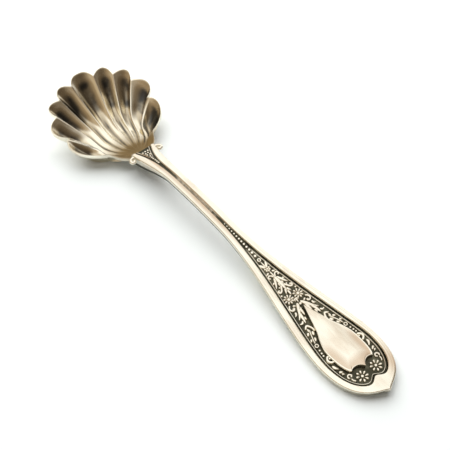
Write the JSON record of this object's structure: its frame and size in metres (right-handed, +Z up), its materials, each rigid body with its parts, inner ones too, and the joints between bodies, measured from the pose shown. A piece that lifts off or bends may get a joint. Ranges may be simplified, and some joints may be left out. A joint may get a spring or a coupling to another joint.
{
  "type": "demitasse spoon",
  "caption": "Small silver spoon with a deep scallop shell bowl, slim arched stem and a broad pointed terminal with a shield in a dark ornamented panel.",
  "frame": {"origin": "on the surface that the spoon rests on, under the middle of its box", "axes": "+X from the terminal's tip towards the bowl, +Y to the left of that, +Z up out of the bowl"},
  "size_m": [0.1108, 0.0294, 0.0118],
  "materials": {
    "silver": "polished silver, darkened in the sunk panel",
    "toned_silver": "polished silver with peach toning",
    "gilt_silver": "silver with a worn gold wash",
    "solder": "dull hard solder"
  },
  "bodies": {
    "root": {"shell_bowl": "gilt_silver", "handle": "silver", "shield_plate": "toned_silver", "root_scroll_left": "silver", "root_scroll_right": "silver", "solder_joint": "solder"}
  },
  "joints": []
}
